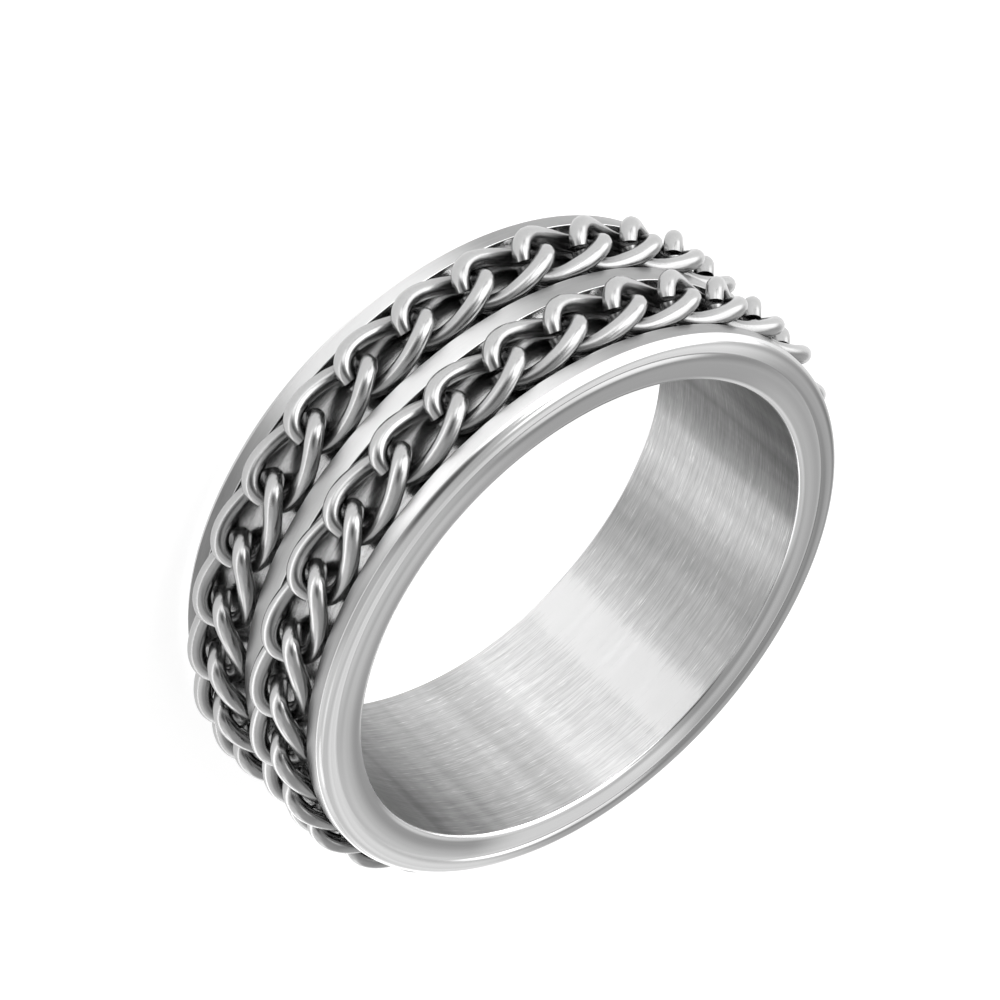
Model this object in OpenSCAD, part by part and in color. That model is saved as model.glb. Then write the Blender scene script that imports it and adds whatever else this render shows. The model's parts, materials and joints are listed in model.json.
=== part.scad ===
// Band ring with two grooves, each holding a loose endless curb chain.
// The ring lies on its side: its axis is +Z and z = 0 is the side face it lies on.
// All lengths are in millimetres and all angles in degrees.

/* [Band] */
// Diameter of the finger hole
bore_d = 19; // [16:0.1:22]
// Thickness of the metal between the finger hole and the floor of the grooves
floor_wall = 1; // [0.7:0.05:1.5]
// Depth of the grooves below the outside of the band
groove_depth = 0.75; // [0.5:0.05:1]
// Width of the band from side face to side face
band_width = 8; // [7.7:0.05:9]
// Width of each groove
groove_width = 2.7; // [2.4:0.05:2.9]
// Width of the rib that stands between the grooves
rib_width = 0.8; // [0.5:0.05:1.2]

/* [Side faces] */
// Radius of the rounded bead on the outer edge of each side face
bead_r = 0.45; // [0.4:0.01:0.5]
// Distance by which the bead's crest stays below the side face
bead_drop = 0.03; // [0:0.01:0.08]
// Distance from the outside of the band in to the bead's crest
bead_inset = 0.43; // [0.36:0.01:0.45]
// Radius of the soft roundings on both sides of the flat land
land_rounding = 0.7; // [0.5:0.05:0.8]
// Width of the flat land on each side face
land_width = 0.25; // [0.15:0.01:0.35]
// Distance from the finger hole out to the flat land
land_inset = 0.4; // [0.3:0.01:0.45]

/* [Chains] */
// Diameter of the wire that the links are bent from
wire_d = 0.64; // [0.5:0.01:0.7]
// Spacing of the links that each chain comes nearest to with whole links
wanted_pitch = 2.47; // [2.3:0.01:2.8]
// Free play along the chain at each pair of link ends
end_play = 0.24; // [0.2:0.01:0.32]
// Clearance on each side of a chain inside its groove
side_play = 0.08; // [0.05:0.01:0.2]
// Clearance between a chain and the floor of its groove
floor_play = 0.1; // [0.1:0.01:0.2]
// Distance by which the loose chains hang off the ring's axis
chain_lean = 0.12; // [0:0.01:0.2]
// Direction in which the loose chains hang off the ring's axis
lean_angle = 215; // [0:5:360]
// Twist of a link from one end to the other
link_twist = 99; // [92:1:112]
// Squareness of a link's loop, where 2 is an ellipse
loop_squareness = 2.5; // [2:0.1:3]
// Angle at which the upper chain starts
upper_start = 73.3; // [0:0.1:360]
// Angle at which the lower chain starts
lower_start = 67.1; // [0:0.1:360]

/* [Hidden] */

// Smoothness of the turned surfaces
$fn = 180;
// Wire sections round a link and sides of each section
LINK_SECTIONS = 16;
WIRE_SIDES = 6;
// Step round the loop for the wire's direction and for the search for its highest point
LOOP_STEP = 1;

bore_r = bore_d / 2;
floor_r = bore_r + floor_wall;
outer_r = floor_r + groove_depth;
mid_z = band_width / 2;
groove_centre = (rib_width + groove_width) / 2;

// A link's loop is measured along the middle of its wire.
wire_r = wire_d / 2;
half_width = groove_width / 2 - side_play - wire_r;
link_rise = max([for (t = [0 : LOOP_STEP : 90]) abs(loop_rise(t))]);
chain_r = floor_r + floor_play + chain_lean + wire_r + link_rise;
link_count = round(2 * PI * chain_r / wanted_pitch);
link_angle = 360 / link_count;
pitch = 2 * chain_r * tan(link_angle / 2);
half_length = (pitch + wire_d + end_play) / 2;

// One half of the band's section, from the middle plane up to the upper side face
module half_section() {
    land_out = bore_r + land_inset + land_width;
    intersection() {
        translate([bore_r, 0]) square([outer_r - bore_r, mid_z]);
        union() {
            square([outer_r, mid_z - bead_drop - bead_r]);
            translate([outer_r - bead_inset, mid_z - bead_drop - bead_r]) circle(bead_r);
            for (r = [bore_r + land_inset, land_out])
                translate([r, mid_z - land_rounding]) circle(land_rounding);
            translate([bore_r + land_inset, 0]) square([land_width, mid_z]);
        }
    }
}

// Band turned from one piece of steel, with both grooves cut right round it
module band() {
    color("silver")
    translate([0, 0, mid_z])
    rotate_extrude()
    difference() {
        union() {
            half_section();
            mirror([0, 1]) half_section();
        }
        for (side = [-1, 1])
            translate([floor_r, side * groove_centre - groove_width / 2])
                square([outer_r, groove_width]);
    }
}

// Power that keeps the sign of its base
function signed_power(base, exponent) = sign(base) * abs(base) ^ exponent;

// Share of the loop's half length that angle t round the loop lies from its middle
function loop_share(t) = signed_power(cos(t), 2 / loop_squareness);

// Distance of the wire from the loop's long axis, before the twist
function loop_reach(t) = half_width * signed_power(sin(t), 2 / loop_squareness);

// Twist of the loop's plane at angle t round the loop
function loop_turn(t) = -link_twist / 2 * loop_share(t);

// Height that the twist gives the wire at angle t, measured away from the ring's axis
function loop_rise(t) = loop_reach(t) * sin(loop_turn(t));

// Middle of the wire at angle t: along the chain, across the groove, away from the axis
function wire_middle(t) =
    [half_length * loop_share(t), loop_reach(t) * cos(loop_turn(t)), loop_rise(t)];

// Outline of the wire where it is cut across at angle t
function wire_section(t) =
    let (
        middle = wire_middle(t),
        step = wire_middle(t + LOOP_STEP) - wire_middle(t - LOOP_STEP),
        along = step / norm(step),
        plane = [0, -sin(loop_turn(t)), cos(loop_turn(t))],
        leaning = plane - (plane * along) * along,
        up = leaning / norm(leaning),
        side = cross(along, up)
    )
    [for (k = [0 : WIRE_SIDES - 1])
        let (a = 360 * k / WIRE_SIDES)
        middle + wire_r * (up * cos(a) + side * sin(a))];

// Point of a link moved to its place on the chain, at the given angle round the ring
function on_ring(p, angle, height) =
    [(chain_r + p[2]) * cos(angle) - p[0] * sin(angle) + chain_lean * cos(lean_angle),
     (chain_r + p[2]) * sin(angle) + p[0] * cos(angle) + chain_lean * sin(lean_angle),
     height + p[1]];

// Two triangles between side k of section j and the next section, for link i
function wire_facets(i, j, k) =
    let (
        first = i * LINK_SECTIONS * WIRE_SIDES,
        here = first + j * WIRE_SIDES,
        next = first + ((j + 1) % LINK_SECTIONS) * WIRE_SIDES,
        k2 = (k + 1) % WIRE_SIDES
    )
    [[here + k, next + k, next + k2], [here + k, next + k2, here + k2]];

// Endless chain of twisted links, each passing through the next one
module chain(height, start) {
    sections = [for (j = [0 : LINK_SECTIONS - 1]) wire_section(360 * j / LINK_SECTIONS)];
    points = [for (i = [0 : link_count - 1], section = sections, p = section)
        on_ring(p, start + i * link_angle, height)];
    facets = [for (i = [0 : link_count - 1], j = [0 : LINK_SECTIONS - 1], k = [0 : WIRE_SIDES - 1])
        each wire_facets(i, j, k)];
    color("gainsboro") polyhedron(points, facets);
}

module upper_chain() {
    chain(mid_z + groove_centre, upper_start);
}

module lower_chain() {
    chain(mid_z - groove_centre, lower_start);
}

band();
upper_chain();
lower_chain();
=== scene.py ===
import json
import math

import bpy
from mathutils import Matrix, Vector


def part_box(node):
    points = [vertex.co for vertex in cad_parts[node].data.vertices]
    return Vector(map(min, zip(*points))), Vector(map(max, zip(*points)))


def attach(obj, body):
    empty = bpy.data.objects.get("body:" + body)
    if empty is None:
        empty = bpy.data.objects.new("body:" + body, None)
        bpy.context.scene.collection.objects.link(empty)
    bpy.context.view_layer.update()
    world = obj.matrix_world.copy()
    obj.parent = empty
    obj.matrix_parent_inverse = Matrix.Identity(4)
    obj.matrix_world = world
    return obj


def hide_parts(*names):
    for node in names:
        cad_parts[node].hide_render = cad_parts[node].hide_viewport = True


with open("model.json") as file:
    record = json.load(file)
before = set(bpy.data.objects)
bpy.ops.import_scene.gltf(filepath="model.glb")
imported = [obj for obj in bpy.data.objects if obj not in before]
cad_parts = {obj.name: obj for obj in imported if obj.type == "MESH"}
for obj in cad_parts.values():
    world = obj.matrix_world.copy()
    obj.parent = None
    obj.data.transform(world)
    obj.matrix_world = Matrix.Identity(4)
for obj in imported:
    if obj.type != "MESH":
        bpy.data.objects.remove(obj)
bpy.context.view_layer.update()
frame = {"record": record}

bl_info = {
    "name": "Chain link ring",
    "version": (1, 0, 0),
    "blender": (4, 5, 0),
    "location": "View3D > Sidebar > Ring",
    "description": "Dresses a steel band ring with two loose curb chains "
                   "and lights it on a pale floor",
    "category": "Object",
}

MM = 0.001
BODY = "root"
# Seeds for how the loose links of the upper and the lower chain lie
LOOSE_SEEDS = {1: 11, -1: 47}

# What the fixed frame says about the ring, in metres
BAND_LOW, BAND_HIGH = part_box("band")
RECORD_MOUNTS = {mount["name"]: mount for mount in frame["record"]["mounts"]}
BORE_R = RECORD_MOUNTS["finger_bore"]["dims"]["r_mm"] * MM
OUTER_R = BAND_HIGH.x
WIDTH = BAND_HIGH.z - BAND_LOW.z
# Where the crease between the bead and the soft dome runs round each side face
CREASE_R = OUTER_R - 0.70 * MM


def length(name, description, default):
    """A size in metres that a user would change."""
    return bpy.props.FloatProperty(
        name=name, description=description, default=default, unit="LENGTH", precision=6)


def angle(name, description, degrees):
    """An angle that a user would change, kept in radians."""
    return bpy.props.FloatProperty(
        name=name, description=description, default=math.radians(degrees), subtype="ANGLE")


def share(name, description, default):
    """A plain number that a user would change."""
    return bpy.props.FloatProperty(name=name, description=description, default=default)


def colour(name, description, default):
    """A colour that a user would change."""
    return bpy.props.FloatVectorProperty(
        name=name, description=description, default=default, size=3, subtype="COLOR",
        min=0, max=1)


class RingBandSizes(bpy.types.PropertyGroup):
    """Sizes of the turned band."""

    bore_r: length("Finger hole", "Radius of the finger hole", BORE_R)
    outer_r: length("Outside", "Radius over the lips and the rib", OUTER_R)
    width: length("Width", "Width of the band from side face to side face", WIDTH)
    groove_depth: length("Groove depth", "Depth of the grooves below the outside", 0.75 * MM)
    groove_width: length("Groove width", "Width of each groove", 2.7 * MM)
    rib_width: length("Rib", "Width of the rib between the grooves", 0.8 * MM)
    bead_r: length("Bead", "Radius of the bead on each outer edge", 0.45 * MM)
    bead_drop: length("Bead drop", "How far the bead stays below the side face", 0.03 * MM)
    bead_inset: length("Bead inset", "From the outside in to the crest of the bead", 0.43 * MM)
    land_r: length("Land rounding", "Radius of the roundings beside the flat land", 0.7 * MM)
    land_width: length("Land", "Width of the flat land on each side face", 0.25 * MM)
    land_inset: length("Land inset", "From the finger hole out to the flat land", 0.4 * MM)
    edge_r: length("Broken edge", "Radius of the broken edges beside the grooves", 0.035 * MM)
    bore_edge_r: length("Hole edge", "Radius of the edge of the finger hole", 0.12 * MM)
    turning_steps: bpy.props.IntProperty(
        name="Turning steps", description="Steps round the band", default=480)


class RingChainSizes(bpy.types.PropertyGroup):
    """Sizes of the two loose chains."""

    links: bpy.props.IntProperty(
        name="Links", description="Number of links in each chain", default=29)
    wire_r: length("Wire", "Radius of the wire", 0.32 * MM)
    middle_r: length("Chain", "Radius of the chain at the middle of its links", 11.27 * MM)
    half_length: length("Half length", "Half the length of a link's loop", 1.655 * MM)
    half_width: length("Half width", "Half the width of a link's loop", 0.94 * MM)
    twist: angle("Twist", "Twist of a link from one end to the other", 84)
    squareness: share("Squareness", "Squareness of the loop, where 2 is an ellipse", 2.65)
    lean: length("Lean", "How far the loose chains hang off the axis", 0.06 * MM)
    lean_turn: angle("Lean direction", "Direction in which the chains hang", 130)
    upper_start: angle("Upper start", "Angle at which the upper chain starts", 74.0)
    lower_start: angle("Lower start", "Angle at which the lower chain starts", 67.3)
    slack: angle(
        "Slack", "How far links are shifted round, so that they bunch up on one side", 0.87)
    slack_turn: angle("Slack direction", "Direction opposite to where they bunch up", 90)
    looseness: angle("Looseness", "How far a loose link may be turned out of line", 1.5)
    joint_turn: angle("Wire joint", "Where round the loop the ends of the wire meet", 3)
    joint_gap: length("Joint gap", "Gap between the ends of the wire", 0.09 * MM)
    wire_points: bpy.props.IntProperty(
        name="Wire points", description="Points along the wire of a link", default=96)
    wire_sides: bpy.props.IntProperty(
        name="Wire sides", description="Sides of the wire", default=16)


class RingFinish(bpy.types.PropertyGroup):
    """Colours of the steel and the floor."""

    edge_steel: colour("Polished edges", "Colour of the polished edges", (0.66, 0.66, 0.66))
    brushed_steel: colour("Brushed steel", "Colour of the brushed faces", (0.48, 0.48, 0.48))
    bore_steel: colour("Finger hole", "Colour of the brushed finger hole", (0.62, 0.62, 0.62))
    groove_steel: colour("Grooves", "Colour of the steel in the grooves", (0.58, 0.58, 0.58))
    wire_steel: colour("Wire", "Colour of the links", (0.46, 0.46, 0.46))
    floor: colour("Floor", "Colour of the floor", (0.42, 0.42, 0.42))


class Value:
    """A number socket. An expression on it adds the Math nodes that work it out."""

    def __init__(self, tree, socket):
        self.tree = tree
        self.socket = socket

    def maths(self, operation, *values):
        return self.tree.add("ShaderNodeMath", {"operation": operation},
                             dict(enumerate((self, *values))))

    def __add__(self, other):
        return self.maths("ADD", other)

    __radd__ = __add__

    def __mul__(self, other):
        return self.maths("MULTIPLY", other)

    __rmul__ = __mul__

    def __sub__(self, other):
        return self.maths("SUBTRACT", other)

    def __rsub__(self, other):
        return (self * -1) + other

    def __truediv__(self, other):
        return self.maths("DIVIDE", other)

    def __pow__(self, other):
        return self.maths("POWER", other)

    def __abs__(self):
        return self.maths("ABSOLUTE")

    def __neg__(self):
        return self * -1

    def below(self, other):
        return self.maths("LESS_THAN", other)

    def above(self, other):
        return self.maths("GREATER_THAN", other)

    def sine(self):
        return self.maths("SINE")

    def cosine(self):
        return self.maths("COSINE")

    def sign(self):
        return self.maths("SIGN")

    def root(self):
        return self.maths("SQRT")


class Tree:
    """A node tree that is built one node at a time."""

    def __init__(self, tree):
        self.tree = tree

    def node(self, kind, settings=None, inputs=None):
        """Adds a node: its settings first, then the values or links of its sockets."""
        made = self.tree.nodes.new(kind)
        for name, setting in (settings or {}).items():
            setattr(made, name, setting)
        for key, value in (inputs or {}).items():
            self.feed(made.inputs[key], value)
        return made

    def add(self, kind, settings=None, inputs=None, output=0):
        """Adds a node and returns one of its outputs."""
        return Value(self, self.node(kind, settings, inputs).outputs[output])

    def feed(self, socket, value):
        """Links a value to a socket, or sets the socket's own value."""
        if isinstance(value, Value):
            self.tree.links.new(value.socket, socket)
        else:
            socket.default_value = value


def signed_power(base, power):
    """Power that keeps the sign of its base."""
    return base.sign() * abs(base) ** power


def new_geometry_tree(name, inputs):
    """A geometry tree with named inputs. Returns it, its inputs as values and their identifiers."""
    group = bpy.data.node_groups.new(name, "GeometryNodeTree")
    face = group.interface
    face.new_socket(name="Geometry", in_out="OUTPUT", socket_type="NodeSocketGeometry")
    names = {}
    for label, kind in inputs.items():
        names[label] = face.new_socket(
            name=label, in_out="INPUT", socket_type="NodeSocket" + kind).identifier
    tree = Tree(group)
    entry = tree.node("NodeGroupInput")
    return tree, {label: Value(tree, entry.outputs[label]) for label in inputs}, names


def finish_tree(tree, geometry):
    """Ends a geometry tree."""
    tree.node("NodeGroupOutput", inputs={0: geometry})


def run_tree(tree, names, values, name, mesh=None):
    """Runs a geometry tree and returns its result as a plain mesh object at the origin."""
    maker = bpy.data.objects.new(name + "_maker", mesh or bpy.data.meshes.new(name + "_start"))
    bpy.context.scene.collection.objects.link(maker)
    modifier = maker.modifiers.new("Nodes", "NODES")
    modifier.node_group = tree.tree
    for label, value in values.items():
        modifier[names[label]] = value
    ready = maker.evaluated_get(bpy.context.evaluated_depsgraph_get())
    made = bpy.data.meshes.new_from_object(ready)
    made.name = name
    maker.modifiers.clear()
    bpy.data.objects.remove(maker)
    piece = bpy.data.objects.new(name, made)
    bpy.context.scene.collection.objects.link(piece)
    return piece


def place_nodes(tree):
    """Object coordinates as values: all in one, x, y, z and the distance from the ring's axis."""
    spot = tree.add("ShaderNodeTexCoord", output="Object")
    parts = tree.node("ShaderNodeSeparateXYZ", inputs={0: spot})
    x, y, z = (Value(tree, parts.outputs[i]) for i in range(3))
    return spot, x, y, z, (x * x + y * y).root()


def streaks(tree, radius, streak_length, streak_width, detail=3.0):
    """Noise drawn out round the ring, so that it looks brushed as the ring turned."""
    _, x, y, z, r = place_nodes(tree)
    around = radius / streak_length
    across = (z + r) * (1 / streak_width)
    place = tree.add("ShaderNodeCombineXYZ",
                     inputs={0: x / r * around, 1: y / r * around, 2: across})
    return tree.add("ShaderNodeTexNoise", inputs={
        "Vector": place, "Scale": 1.0, "Detail": detail, "Roughness": 0.6})


def fade(tree, value, low, high, start=0.0, end=1.0):
    """Goes softly from start to end while a value goes from low to high."""
    return tree.add("ShaderNodeMapRange", {"interpolation_type": "SMOOTHSTEP"}, {
        "Value": value, "From Min": low, "From Max": high, "To Min": start, "To Max": end})


def near_azimuth(tree, azimuth, inner, outer):
    """1 on the side of the ring nearest an azimuth, fading to 0 between two angles from it."""
    _, x, y, _, r = place_nodes(tree)
    along = (x * math.cos(math.radians(azimuth)) + y * math.sin(math.radians(azimuth))) / r
    return fade(tree, along, math.cos(math.radians(outer)), math.cos(math.radians(inner)))


def both_sides(tree, azimuth, inner, outer):
    """The same on an azimuth's side of the ring and on the opposite one."""
    return (near_azimuth(tree, azimuth, inner, outer)
            + near_azimuth(tree, azimuth + 180, inner, outer))


def stretches(tree, rows, where=near_azimuth):
    """What the painted highlights and shade in some rows of stretches add to the shade."""
    total = 0.0
    for azimuth, inner, outer, amount in rows:
        total = total + where(tree, azimuth, inner, outer) * amount
    return total


# How many rays tell how deep in a crevice a spot is
CREVICE_SAMPLES = 6


def crevice(tree, reach):
    """For painted shade in crevices: 0 deep among other steel and 1 out in the open, as far as a
    reach can tell.
    """
    return tree.add("ShaderNodeAmbientOcclusion", {"samples": CREVICE_SAMPLES},
                    {"Distance": reach}, output="AO")


def tint(tree, base, shade):
    """A colour made lighter or darker by a value."""
    return tree.add("ShaderNodeVectorMath", {"operation": "SCALE"},
                    {0: tuple(base), "Scale": shade})


def steel_material(name, steel, look):
    """A metal whose look(tree) gives its shade, roughness, height and constant settings.

    One of the settings is the depth of the bump that the height makes.
    """
    material = bpy.data.materials.new(name)
    material.use_nodes = True
    material.node_tree.nodes.clear()
    tree = Tree(material.node_tree)
    shade, roughness, height, settings = look(tree)
    normal = tree.add("ShaderNodeBump", inputs={
        "Strength": 1.0, "Distance": settings.pop("depth"), "Height": height})
    shader = tree.add("ShaderNodeBsdfPrincipled", inputs={
        "Base Color": tint(tree, steel, shade), "Metallic": 1.0, "Roughness": roughness,
        "Normal": normal, **settings})
    tree.node("ShaderNodeOutputMaterial", inputs={0: shader})
    material.diffuse_color = (*steel, 1)
    return material


# Radii between which each of these rings of the side face comes in, for its painted light and shade
MID_BEAD = (OUTER_R - 0.42 * MM, OUTER_R - 0.24 * MM)
OUTER_BEAD = (OUTER_R - 0.17 * MM, OUTER_R - 0.08 * MM)
OUTER_DOME = (BORE_R + 0.70 * MM, BORE_R + 1.00 * MM)
# Radii between which each of these goes out
INNER_DOME = (BORE_R + 0.30 * MM, BORE_R + 0.80 * MM)
HOLE_EDGE = (BORE_R + 0.10 * MM, BORE_R + 0.22 * MM)
# Painted highlights, reflections and shade in stretches of the steel: the azimuth of the middle of
# each, the angles from there at which it begins and stops fading, and what it adds to the shade
BEAD_STRETCHES = ((120, 92, 118, 0.70), (92, 3, 18, -0.20), (160, 50, 80, -0.10))
MID_BEAD_STRETCHES = ((-50, 30, 55, -0.44), (160, 50, 80, 0.70))
OUTER_BEAD_STRETCHES = ((-50, 30, 55, -0.10), (160, 50, 80, -1.20))
DOME_STRETCHES = ((240, 14, 32, 0.58), (105, 10, 40, 0.10), (150, 50, 80, 0.30))
INNER_DOME_STRETCHES = ((150, 50, 80, -0.42), (-50, 45, 70, 0.20))
OUTER_DOME_STRETCHES = ((150, 50, 80, 0.34), (-50, 45, 70, 0.20))
# A painted highlight along the edge of the finger hole
HOLE_EDGE_STRETCHES = ((-150, 22, 42, 0.80), (-12, 25, 48, 0.80), (118, 12, 35, 0.80))
OUTSIDE_STRETCHES = ((35, 14, 36, -0.24),)
LIP_STRETCHES = ((130, 12, 36, -0.26),)
# Stretches that are on the opposite side of the ring as well
OUTSIDE_PAIRS = ((78, 5, 28, 0.62), (132, 12, 38, -0.24))
# Painted bands of reflection and shade round the finger hole
BORE_PAIRS = ((79, 6, 32, 0.50), (88, 0, 8, 0.50), (58, 2, 8, -0.20), (107, 3, 13, -0.10),
              (131, 1, 11, 0.42), (177, 12, 50, -0.50))


def polished_edge(finish):
    """Bright polished side faces with the faintest trace of turning, and painted highlights,
    reflections and shade in rings and stretches round them.
    """
    def look(tree):
        fine = streaks(tree, OUTER_R, 6 * MM, 0.06 * MM)
        *_, radius = place_nodes(tree)
        bead = (0.70 + stretches(tree, BEAD_STRETCHES)
                + fade(tree, radius, *MID_BEAD) * stretches(tree, MID_BEAD_STRETCHES)
                + fade(tree, radius, *OUTER_BEAD) * stretches(tree, OUTER_BEAD_STRETCHES))
        inner_dome = fade(tree, radius, *INNER_DOME, 1.0, 0.0)
        hole_edge = fade(tree, radius, *HOLE_EDGE, 1.0, 0.0)
        dome = (0.66 + stretches(tree, DOME_STRETCHES)
                + inner_dome * stretches(tree, INNER_DOME_STRETCHES)
                + fade(tree, radius, *OUTER_DOME) * stretches(tree, OUTER_DOME_STRETCHES)
                + hole_edge * stretches(tree, HOLE_EDGE_STRETCHES))
        on_bead = radius.above(CREASE_R)
        shade = dome + on_bead * (bead - dome) + 0.06 * fine
        return shade, 0.12 + 0.06 * fine, fine, {"depth": 0.15e-6}
    return steel_material("polished_edge", finish.edge_steel, look)


def brushed_outside(finish):
    """Satin lips and rib, brushed round the ring, with painted highlights, reflections and shade in
    stretches round it.
    """
    def look(tree):
        fine = streaks(tree, OUTER_R, 1.6 * MM, 0.03 * MM)
        patch = streaks(tree, OUTER_R, 2.5 * MM, 0.8 * MM, detail=2.0)
        *_, height, _ = place_nodes(tree)
        # The lips are further from the middle of the width than the rib is, and get more painted
        # shade.
        on_lip = abs(height - WIDTH / 2).above(WIDTH / 4)
        # Painted highlights, reflections and shade in stretches round the ring
        sides = (stretches(tree, OUTSIDE_PAIRS, both_sides) + stretches(tree, OUTSIDE_STRETCHES)
                 + on_lip * stretches(tree, LIP_STRETCHES))
        shade = 0.76 + 0.22 * fine + 0.18 * patch + sides
        return shade, 0.28 + 0.10 * fine, fine, {
            "depth": 1.0e-6, "Anisotropic": 0.55, "Anisotropic Rotation": 0.25}
    return steel_material("brushed_outside", finish.brushed_steel, look)


def brushed_bore(finish):
    """The finger hole, brushed round with plain streaks, with painted bands of reflection and shade
    round it.
    """
    def look(tree):
        fine = streaks(tree, BORE_R, 1.4 * MM, 0.035 * MM, detail=4.0)
        wide = streaks(tree, BORE_R, 4.5 * MM, 0.28 * MM, detail=2.0)
        # Broad bands along the hole's width: partly uneven brushing, partly painted sheen.
        bands = streaks(tree, BORE_R, 1.3 * MM, 14 * MM, detail=2.0)
        # Single deep strokes of the brush get painted glints where their noise is high enough.
        strokes = streaks(tree, BORE_R, 0.7 * MM, 0.04 * MM, detail=1.0)
        bright = (strokes - 0.62).maths("MAXIMUM", 0.0)
        # Painted bands of reflection and shade round the hole
        sides = stretches(tree, BORE_PAIRS, both_sides)
        shade = (0.47 + 0.24 * wide + 0.50 * bands + sides) * (0.50 + fine)
        return shade * (1 + 3.0 * bright), 0.34 + 0.10 * wide, fine + 0.4 * strokes, {
            "depth": 2.2e-6, "Anisotropic": 0.93, "Anisotropic Rotation": 0.25}
    return steel_material("brushed_bore", finish.bore_steel, look)


# How far away other steel casts painted shade on the grooves and the wire
GROOVE_REACH = 1.6 * MM
WIRE_REACH = 0.9 * MM
# The painted shade in the grooves lifts as a power of how open they are, up to a limit
OPEN_GAIN = 13.0
OPEN_POWER = 2.6
OPEN_LIMIT = 1.9


def groove_steel(finish):
    """The floors and walls of the grooves, bright as turned, with painted shade among the links."""
    def look(tree):
        fine = streaks(tree, OUTER_R, 3 * MM, 0.05 * MM)
        # Painted shade: the grooves darken among the links
        clear = OPEN_GAIN * crevice(tree, GROOVE_REACH) ** OPEN_POWER
        clear = clear.maths("MINIMUM", OPEN_LIMIT)
        return (0.03 + clear) * (0.1 + 1.8 * fine), 0.15 + 0.12 * fine, fine, {"depth": 1.2e-6}
    return steel_material("groove_steel", finish.groove_steel, look)


def wire_steel(finish):
    """Polished wire, a little uneven from drawing and bending, with painted shade where other steel
    is near.
    """
    def look(tree):
        spot = tree.add("ShaderNodeTexCoord", output="Object")
        uneven = tree.add("ShaderNodeTexNoise", inputs={
            "Vector": spot, "Scale": 1500.0, "Detail": 2.0, "Roughness": 0.5})
        grain = tree.add("ShaderNodeTexNoise", inputs={
            "Vector": spot, "Scale": 9000.0, "Detail": 3.0, "Roughness": 0.6})
        height = uneven + 0.12 * grain
        # Painted shade: the wire darkens where other steel is near
        clear = 0.22 + 0.84 * crevice(tree, WIRE_REACH)
        return clear * (0.93 + 0.14 * grain), 0.18 + 0.12 * uneven, height, {"depth": 8e-6}
    return steel_material("wire_steel", finish.wire_steel, look)


def arc(centre, radius, start, end, steps):
    """Points on an arc of the section, with its angles in degrees."""
    turns = [math.radians(start + (end - start) * i / steps) for i in range(steps + 1)]
    return [(centre[0] + radius * math.cos(t), centre[1] + radius * math.sin(t)) for t in turns]


def crossing(centre_a, radius_a, centre_b, radius_b):
    """The outer of the two points where two arcs cross."""
    a, b = Vector(centre_a), Vector(centre_b)
    between = (b - a).length
    along = (between ** 2 + radius_a ** 2 - radius_b ** 2) / (2 * between)
    out = math.sqrt(radius_a ** 2 - along ** 2)
    direction = (b - a).normalized()
    return a + direction * along + Vector((-direction.y, direction.x)) * out


def turn_to(point, centre):
    """Direction from an arc's centre to a point, in degrees."""
    return math.degrees(math.atan2(point[1] - centre[1], point[0] - centre[0]))


# Steps along each part of the band's section, from the finger hole outwards
HOLE_STEPS = 6
HOLE_EDGE_STEPS = 6
INNER_DOME_STEPS = 10
OUTER_DOME_STEPS = 12
BEAD_STEPS = 26
BROKEN_EDGE_STEPS = 3


def half_section(sizes):
    """Half of the band's section, from the middle of the hole round to the middle of the rib."""
    half = sizes.width / 2
    floor_r = sizes.outer_r - sizes.groove_depth
    groove_low = sizes.rib_width / 2
    groove_high = groove_low + sizes.groove_width
    land_in = (sizes.bore_r + sizes.land_inset, half - sizes.land_r)
    land_out = (land_in[0] + sizes.land_width, land_in[1])
    bead = (sizes.outer_r - sizes.bead_inset, half - sizes.bead_drop - sizes.bead_r)
    # The edge of the hole is an arc that touches both the hole and the inner rounding.
    edge = sizes.bore_edge_r
    rise = math.sqrt((sizes.land_r - edge) ** 2 - (sizes.land_inset - edge) ** 2)
    hole_edge = (sizes.bore_r + edge, land_in[1] + rise)
    edge_turn = turn_to(hole_edge, land_in)
    crease = crossing(land_out, sizes.land_r, bead, sizes.bead_r)
    lip_turn = math.degrees(math.acos(sizes.bead_inset / sizes.bead_r))
    broken = sizes.edge_r
    lip_edge = (sizes.outer_r - broken, groove_high + broken)
    rib_edge = (sizes.outer_r - broken, groove_low - broken)
    outline = [(sizes.bore_r, hole_edge[1] * i / HOLE_STEPS) for i in range(HOLE_STEPS)]
    outline += arc(hole_edge, edge, 180, edge_turn, HOLE_EDGE_STEPS)
    outline += arc(land_in, sizes.land_r, edge_turn, 90, INNER_DOME_STEPS)[1:]
    outline += arc(land_out, sizes.land_r, 90, turn_to(crease, land_out), OUTER_DOME_STEPS)
    outline += arc(bead, sizes.bead_r, turn_to(crease, bead), lip_turn, BEAD_STEPS)[1:]
    outline += arc(lip_edge, broken, 0, -90, BROKEN_EDGE_STEPS)
    outline += [(floor_r, groove_high), (floor_r, groove_low)]
    outline += arc(rib_edge, broken, 90, 0, BROKEN_EDGE_STEPS)
    outline += [(sizes.outer_r, 0)]
    return outline


def section_mesh(sizes):
    """The whole section of the band as a closed line, in the plane of X and Z."""
    half = half_section(sizes)
    mirrored = [(r, -w) for r, w in reversed(half[1:-1])]
    middle = sizes.width / 2
    points = [(r, 0, middle + w) for r, w in half + mirrored]
    edges = [(i, (i + 1) % len(points)) for i in range(len(points))]
    mesh = bpy.data.meshes.new("band_section")
    mesh.from_pydata(points, edges, [])
    return mesh


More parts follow.
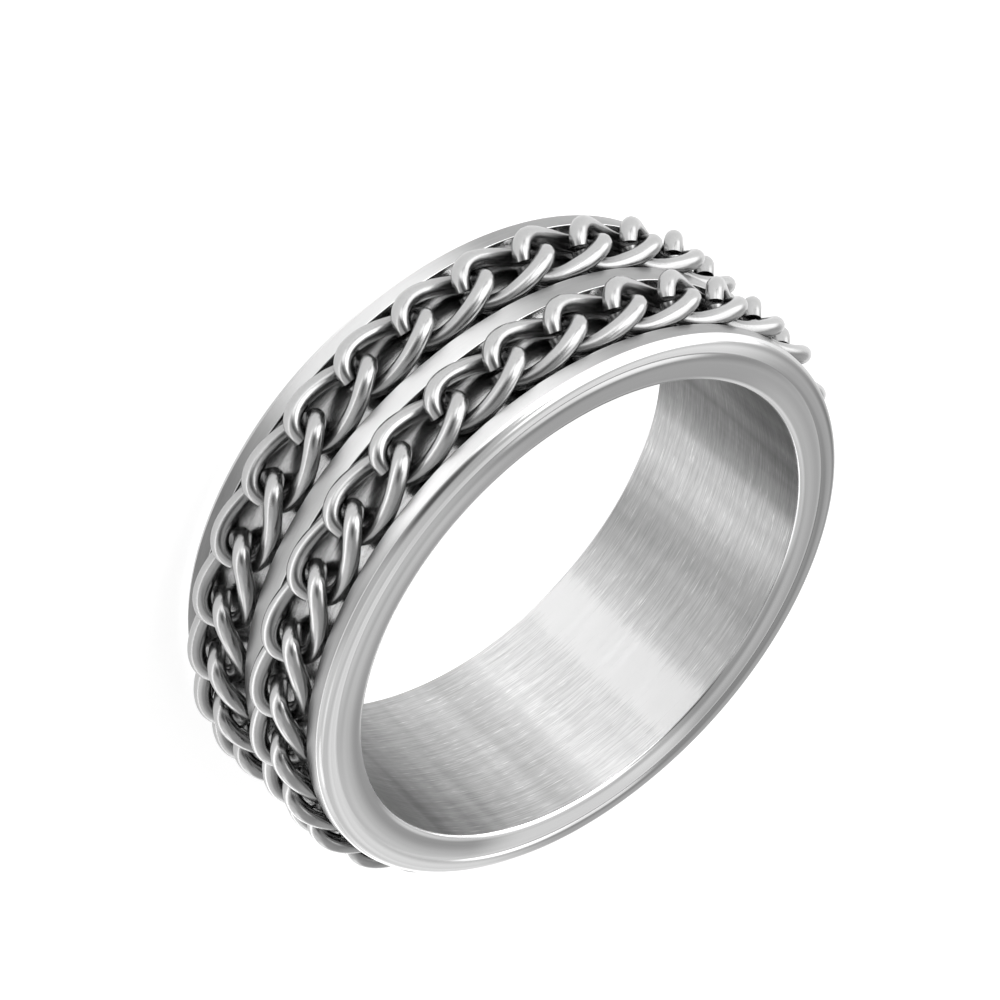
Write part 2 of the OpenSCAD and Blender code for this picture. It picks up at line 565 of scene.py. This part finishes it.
def smooth_unless_sharp(tree, geometry, sharpest):
    """Smooth shading, but for the edges that are sharper than an angle in degrees."""
    smooth = tree.add("GeometryNodeSetShadeSmooth", {"domain": "FACE"},
                      {"Geometry": geometry, "Shade Smooth": True})
    turn = tree.add("GeometryNodeInputMeshEdgeAngle", output="Unsigned Angle")
    sharp = turn.above(math.radians(sharpest))
    return tree.add("GeometryNodeSetShadeSmooth", {"domain": "EDGE"},
                    {"Geometry": smooth, "Selection": sharp, "Shade Smooth": False})


# Edges of the band and of a link are shaded sharp where they turn by more degrees than this
BAND_SHARP = 40
LINK_SHARP = 50
# How near a radius a face has to be to take that surface's finish, and how much of its normal
# may point up or down
FACE_MARGIN = 0.01 * MM
UPRIGHT_LIMIT = 0.2


def band_tree():
    """Turns a section round the axis and gives each face its finish."""
    tree, put, names = new_geometry_tree("turned_band", {
        "Section": "Geometry", "Outside radius": "Float", "Steps": "Int",
        "Hole radius": "Float", "Groove radius": "Float", "Margin": "Float",
        "Edge finish": "Material", "Hole finish": "Material",
        "Outside finish": "Material", "Groove finish": "Material"})
    line = tree.add("GeometryNodeMeshToCurve", inputs={0: put["Section"]})
    position = tree.add("GeometryNodeInputPosition")
    parts = tree.node("ShaderNodeSeparateXYZ", inputs={0: position})
    across, height = (Value(tree, parts.outputs[i]) for i in (0, 2))
    flat = tree.add("ShaderNodeCombineXYZ", inputs={
        0: across - put["Outside radius"], 1: -height, 2: 0.0})
    profile = tree.add("GeometryNodeSetPosition", inputs={"Geometry": line, "Position": flat})
    path = tree.add("GeometryNodeCurvePrimitiveCircle", inputs={
        "Resolution": put["Steps"], "Radius": put["Outside radius"]})
    turned = tree.add("GeometryNodeCurveToMesh", inputs={"Curve": path, "Profile Curve": profile})
    body = smooth_unless_sharp(tree, turned, BAND_SHARP)
    body = tree.add("GeometryNodeSetMaterial", inputs={
        "Geometry": body, "Material": put["Edge finish"]})
    parts = tree.node("ShaderNodeSeparateXYZ", inputs={0: position})
    x, y = (Value(tree, parts.outputs[i]) for i in (0, 1))
    r = (x * x + y * y).root()
    facing = tree.node("ShaderNodeSeparateXYZ",
                       inputs={0: tree.add("GeometryNodeInputNormal")})
    upright = abs(Value(tree, facing.outputs[2])).below(UPRIGHT_LIMIT)
    in_hole = r.below(put["Hole radius"] + put["Margin"]) * upright
    on_outside = r.above(put["Outside radius"] - put["Margin"]) * upright
    in_groove = (r.above(put["Groove radius"] - put["Margin"]) * upright
                 * r.below(put["Groove radius"] + put["Margin"]))
    for chosen, finish in ((in_hole, "Hole finish"), (on_outside, "Outside finish"),
                           (in_groove, "Groove finish")):
        body = tree.add("GeometryNodeSetMaterial", inputs={
            "Geometry": body, "Selection": chosen, "Material": put[finish]})
    finish_tree(tree, tree.add("GeometryNodeRealizeInstances", inputs={0: body}))
    return tree, names


def chain_tree():
    """Bends one twisted link, then sets copies of it round the ring."""
    tree, put, names = new_geometry_tree("curb_chain", {
        "Links": "Int", "Wire points": "Int", "Wire sides": "Int", "Wire radius": "Float",
        "Chain radius": "Float", "Half length": "Float", "Half width": "Float",
        "Twist": "Float", "Loop power": "Float", "Joint": "Float", "Joint gap": "Float",
        "Start": "Float", "Slack": "Float", "Slack direction": "Float", "Centre": "Vector",
        "Looseness": "Float", "Seed": "Int", "Finish": "Material"})
    line = tree.add("GeometryNodeCurvePrimitiveLine")
    points = tree.add("GeometryNodeResampleCurve", inputs={
        "Curve": line, "Count": put["Wire points"]})
    factor = tree.add("GeometryNodeSplineParameter", output="Factor")
    # The wire starts just past the joint and ends just before it.
    turn = put["Joint"] + put["Joint gap"] / 2 + factor * (2 * math.pi - put["Joint gap"])
    along_share = signed_power(turn.cosine(), put["Loop power"])
    reach = put["Half width"] * signed_power(turn.sine(), put["Loop power"])
    lean = -put["Twist"] / 2 * along_share
    bent = tree.add("ShaderNodeCombineXYZ", inputs={
        0: reach * lean.sine(), 1: put["Half length"] * along_share, 2: reach * lean.cosine()})
    wire = tree.add("GeometryNodeSetPosition", inputs={"Geometry": points, "Position": bent})
    even = tree.add("GeometryNodeResampleCurve", inputs={
        "Curve": wire, "Count": put["Wire points"]})
    outline = tree.add("GeometryNodeCurvePrimitiveCircle", inputs={
        "Resolution": put["Wire sides"], "Radius": put["Wire radius"]})
    link = tree.add("GeometryNodeCurveToMesh", inputs={
        "Curve": even, "Profile Curve": outline, "Fill Caps": True})
    link = smooth_unless_sharp(tree, link, LINK_SHARP)
    number = tree.add("GeometryNodeInputIndex")
    place = put["Start"] + number * (2 * math.pi) / put["Links"]
    place = place + put["Slack"] * (place - put["Slack direction"]).sine()
    around = tree.add("ShaderNodeCombineXYZ", inputs={
        0: put["Chain radius"] * place.cosine(), 1: put["Chain radius"] * place.sine(), 2: 0.0})
    spots = tree.add("GeometryNodePoints", inputs={
        "Count": put["Links"],
        "Position": tree.add("ShaderNodeVectorMath", {"operation": "ADD"},
                             {0: around, 1: put["Centre"]})})
    # Each loose link is turned a little about its three axes.
    loose = [tree.add("FunctionNodeRandomValue", {"data_type": "FLOAT"}, {
        "Min": put["Looseness"] * -1, "Max": put["Looseness"], "Seed": put["Seed"] + axis},
        output="Value") for axis in range(3)]
    spin = tree.add("ShaderNodeCombineXYZ", inputs={
        0: loose[0], 1: loose[1], 2: place + 0.5 * loose[2]})
    copies = tree.add("GeometryNodeInstanceOnPoints", inputs={
        "Points": spots, "Instance": link, "Rotation": spin})
    solid = tree.add("GeometryNodeRealizeInstances", inputs={0: copies})
    finish_tree(tree, tree.add("GeometryNodeSetMaterial", inputs={
        "Geometry": solid, "Material": put["Finish"]}))
    return tree, names


class RING_OT_band(bpy.types.Operator):
    """Make the band, with a finish for each of its faces"""

    bl_idname = "ring.band"
    bl_label = "Make the band"

    def execute(self, context):
        sizes = context.scene.ring_band
        finish = context.scene.ring_finish
        tree, names = band_tree()
        band = run_tree(tree, names, {
            "Outside radius": sizes.outer_r, "Steps": sizes.turning_steps,
            "Hole radius": sizes.bore_r, "Groove radius": sizes.outer_r - sizes.groove_depth,
            "Margin": FACE_MARGIN,
            "Edge finish": polished_edge(finish), "Hole finish": brushed_bore(finish),
            "Outside finish": brushed_outside(finish), "Groove finish": groove_steel(finish),
        }, "turned_band", section_mesh(sizes))
        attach(band, BODY)
        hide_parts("band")
        return {"FINISHED"}


class RING_OT_chains(bpy.types.Operator):
    """Make both loose chains from one bent link"""

    bl_idname = "ring.chains"
    bl_label = "Make the chains"

    def execute(self, context):
        sizes = context.scene.ring_chain
        band = context.scene.ring_band
        finish = wire_steel(context.scene.ring_finish)
        tree, names = chain_tree()
        groove = (band.rib_width + band.groove_width) / 2
        for node, side, start in (("upper_chain", 1, sizes.upper_start),
                                  ("lower_chain", -1, sizes.lower_start)):
            centre = (sizes.lean * math.cos(sizes.lean_turn),
                      sizes.lean * math.sin(sizes.lean_turn),
                      band.width / 2 + side * groove)
            chain = run_tree(tree, names, {
                "Links": sizes.links, "Wire points": sizes.wire_points,
                "Wire sides": sizes.wire_sides, "Wire radius": sizes.wire_r,
                "Chain radius": sizes.middle_r, "Half length": sizes.half_length,
                "Half width": sizes.half_width, "Twist": sizes.twist,
                "Loop power": 2 / sizes.squareness, "Joint": sizes.joint_turn,
                "Joint gap": sizes.joint_gap / sizes.half_width, "Start": start,
                "Slack": sizes.slack, "Slack direction": sizes.slack_turn,
                "Centre": centre, "Looseness": sizes.looseness, "Seed": LOOSE_SEEDS[side],
                "Finish": finish,
            }, node + "_links")
            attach(chain, BODY)
            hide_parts(node)
        return {"FINISHED"}


# How brightly the floor glows, and the painted light added beside the ring and inside it, which
# lifts the ring's shadow and brightens what the steel reflects
FLOOR_GLOW = 0.79
BESIDE_GLOW = 1.7
INSIDE_GLOW = 0.13
# The added glow inside goes out between two radii. The one beside comes in between two and goes
# out between two more, on the side nearest an azimuth, and fades between two angles from it.
INSIDE_OUT = (8 * MM, 12 * MM)
BESIDE_IN = (20 * MM, 25 * MM)
BESIDE_OUT = (29 * MM, 40 * MM)
BESIDE_SIDE = (160, 45, 85)
# From the middle of the floor to each of its sides, in metres
FLOOR_REACH = 2.0


def floor_material(finish):
    """A plain pale floor with the glow of a light table, and painted light that makes it brightest
    beside and inside the ring.
    """
    material = bpy.data.materials.new("pale_floor")
    material.use_nodes = True
    material.node_tree.nodes.clear()
    tree = Tree(material.node_tree)
    spot, _, _, _, r = place_nodes(tree)
    uneven = tree.add("ShaderNodeTexNoise", inputs={"Vector": spot, "Scale": 20.0})
    # Painted light beside the ring and inside it
    beside = (near_azimuth(tree, *BESIDE_SIDE) * fade(tree, r, *BESIDE_IN)
              * fade(tree, r, *BESIDE_OUT, 1.0, 0.0))
    inside = fade(tree, r, *INSIDE_OUT, 1.0, 0.0)
    glow = FLOOR_GLOW + BESIDE_GLOW * beside + INSIDE_GLOW * inside
    shader = tree.add("ShaderNodeBsdfPrincipled", inputs={
        "Base Color": tint(tree, finish.floor, 0.99 + 0.02 * uneven), "Roughness": 0.7,
        "Specular IOR Level": 0.2, "Emission Color": tint(tree, (1, 1, 1), glow),
        "Emission Strength": 1.0})
    tree.node("ShaderNodeOutputMaterial", inputs={0: shader})
    return material


def add_floor(finish):
    """A wide floor at the height that the ring rests on."""
    mesh = bpy.data.meshes.new("floor")
    corners = [(x * FLOOR_REACH, y * FLOOR_REACH, 0)
               for x, y in ((-1, -1), (1, -1), (1, 1), (-1, 1))]
    mesh.from_pydata(corners, [], [(0, 1, 2, 3)])
    mesh.materials.append(floor_material(finish))
    floor = bpy.data.objects.new("floor", mesh)
    bpy.context.scene.collection.objects.link(floor)


def direction(azimuth, elevation):
    """Unit vector towards an azimuth from +X round to +Y and an elevation, in degrees."""
    a, e = math.radians(azimuth), math.radians(elevation)
    return Vector((math.cos(a) * math.cos(e), math.sin(a) * math.cos(e), math.sin(e)))


def add_softbox(name, azimuth, elevation, distance, size, brightness):
    """A soft rectangular light that faces the ring, of a given brightness on its face."""
    light = bpy.data.lights.new(name, "AREA")
    light.shape = "RECTANGLE"
    light.size, light.size_y = size
    light.energy = brightness * math.pi * size[0] * size[1]
    box = bpy.data.objects.new(name, light)
    middle = (BAND_LOW + BAND_HIGH) / 2
    box.location = middle + direction(azimuth, elevation) * distance
    box.rotation_euler = (middle - box.location).to_track_quat("-Z", "Y").to_euler()
    bpy.context.scene.collection.objects.link(box)


# Softboxes: name, azimuth, elevation, distance and size in metres, and brightness
SOFTBOXES = (("key", 22, 38, 0.45, (0.34, 0.24), 1.2),
             ("side", -160, 14, 0.45, (0.14, 0.10), 0.8))
# Soft shapes in the surroundings: azimuth, elevation, angles from the middle to where each
# begins and stops fading, and the brightness that it adds
KEY_SHAPES = ((-14, 16, 14, 30, 1.6), (26, 30, 11, 27, 1.7), (58, 8, 8, 22, 1.4),
              (-16, 48, 10, 24, 1.5), (-4, 64, 6, 18, 1.1))
SIDE_SHAPES = ((178, 20, 8, 28, 0.5), (-150, 2, 5, 18, 0.7), (138, 34, 8, 30, 0.25),
               (-90, 34, 10, 34, 0.22))
# The dark gap in the surroundings, on the side that the photo was taken from. Its last number
# is the share of their light that it takes away.
DARK_SHAPE = (90, 34, 7, 26, 0.80)
# How bright the surroundings are, what the backdrop adds at the horizon, and the sine of the
# elevation at which it adds no more
SURROUND_GLOW = 0.52
SWEEP_GLOW = 0.30
SWEEP_TOP = 0.36


def studio_world():
    """Soft surroundings with bright shapes, most of them on one side, and one dark gap."""
    world = bpy.data.worlds.new("studio")
    world.use_nodes = True
    world.node_tree.nodes.clear()
    tree = Tree(world.node_tree)
    facing = tree.add("ShaderNodeTexCoord", output="Generated")

    def shape(azimuth, elevation, inner, outer, amount):
        nearness = tree.add("ShaderNodeVectorMath", {"operation": "DOT_PRODUCT"},
                            {0: facing, 1: direction(azimuth, elevation)}, output="Value")
        return fade(tree, nearness, math.cos(math.radians(outer)),
                    math.cos(math.radians(inner)), 0.0, amount)

    uneven = tree.add("ShaderNodeTexNoise", inputs={
        "Vector": facing, "Scale": 1.6, "Detail": 1.0, "Roughness": 0.4})
    # The backdrop curves up from the floor, so it is brighter near the horizon.
    upward = tree.add("ShaderNodeVectorMath", {"operation": "DOT_PRODUCT"},
                      {0: facing, 1: (0, 0, 1)}, output="Value")
    sweep = fade(tree, upward, 0.0, SWEEP_TOP, SWEEP_GLOW, 0.0)
    glow = (SURROUND_GLOW * (0.75 + 0.5 * uneven) + sweep) * (1 - shape(*DARK_SHAPE))
    key = shape(*KEY_SHAPES[0])
    for other in KEY_SHAPES[1:]:
        key = key.maths("MAXIMUM", shape(*other))
    glow = glow + key
    for other in SIDE_SHAPES:
        glow = glow + shape(*other)
    shine = tree.add("ShaderNodeBackground", inputs={"Color": (1, 1, 1, 1), "Strength": glow})
    tree.node("ShaderNodeOutputWorld", inputs={0: shine})
    bpy.context.scene.world = world


# The camera, as the photo was taken: from the side of +Y, turned about its line of sight. The
# shifts say how far right of the picture's middle and above it the ring's middle lies.
CAMERA_AZIMUTH = 90.0
CAMERA_ELEVATION = 33.84
CAMERA_ROLL = 47.33
CAMERA_DISTANCE = 227.93 * MM
CAMERA_SIDE_SHIFT = 0.5147 * MM
CAMERA_UP_SHIFT = -1.6206 * MM
# The lens and the width of the sensor, in millimetres, and the clip distances in metres
CAMERA_LENS = 237.65
CAMERA_SENSOR = 36
CAMERA_CLIP = (0.01, 20)


def add_camera():
    """The camera at the photo's angle to the ring."""
    data = bpy.data.cameras.new("camera")
    data.lens = CAMERA_LENS
    data.sensor_width = CAMERA_SENSOR
    data.clip_start, data.clip_end = CAMERA_CLIP
    camera = bpy.data.objects.new("camera", data)
    back = direction(CAMERA_AZIMUTH, CAMERA_ELEVATION)
    # Unturned, the camera's right is along -X, and its up is square to that and to its view.
    level_right = Vector((0, 0, 1)).cross(back).normalized()
    level_up = back.cross(level_right)
    roll = math.radians(180 + CAMERA_ROLL)
    right = level_right * math.cos(roll) - level_up * math.sin(roll)
    up = level_right * math.sin(roll) + level_up * math.cos(roll)
    middle = (BAND_LOW + BAND_HIGH) / 2
    place = middle + back * CAMERA_DISTANCE - right * CAMERA_SIDE_SHIFT - up * CAMERA_UP_SHIFT
    turned = Matrix((right, up, back)).transposed().to_4x4()
    camera.matrix_world = Matrix.Translation(place) @ turned
    bpy.context.scene.collection.objects.link(camera)
    bpy.context.scene.camera = camera


class RING_OT_studio(bpy.types.Operator):
    """Make the floor, the lights and the camera"""

    bl_idname = "ring.studio"
    bl_label = "Make the studio"

    def execute(self, context):
        add_floor(context.scene.ring_finish)
        studio_world()
        for softbox in SOFTBOXES:
            add_softbox(*softbox)
        add_camera()
        context.scene.view_settings.view_transform = "Standard"
        return {"FINISHED"}


class RING_PT_panel(bpy.types.Panel):
    """Lists the steps that make the ring"""

    bl_idname = "RING_PT_panel"
    bl_label = "Chain link ring"
    bl_space_type = "VIEW_3D"
    bl_region_type = "UI"
    bl_category = "Ring"

    def draw(self, context):
        for operator in (RING_OT_band, RING_OT_chains, RING_OT_studio):
            self.layout.operator(operator.bl_idname)


CLASSES = (RingBandSizes, RingChainSizes, RingFinish,
           RING_OT_band, RING_OT_chains, RING_OT_studio, RING_PT_panel)


def register():
    for one in CLASSES:
        bpy.utils.register_class(one)
    bpy.types.Scene.ring_band = bpy.props.PointerProperty(type=RingBandSizes)
    bpy.types.Scene.ring_chain = bpy.props.PointerProperty(type=RingChainSizes)
    bpy.types.Scene.ring_finish = bpy.props.PointerProperty(type=RingFinish)


def unregister():
    del bpy.types.Scene.ring_finish
    del bpy.types.Scene.ring_chain
    del bpy.types.Scene.ring_band
    for one in reversed(CLASSES):
        bpy.utils.unregister_class(one)


def main():
    register()
    bpy.ops.ring.band()
    bpy.ops.ring.chains()
    bpy.ops.ring.studio()


if __name__ == "__main__":
    main()
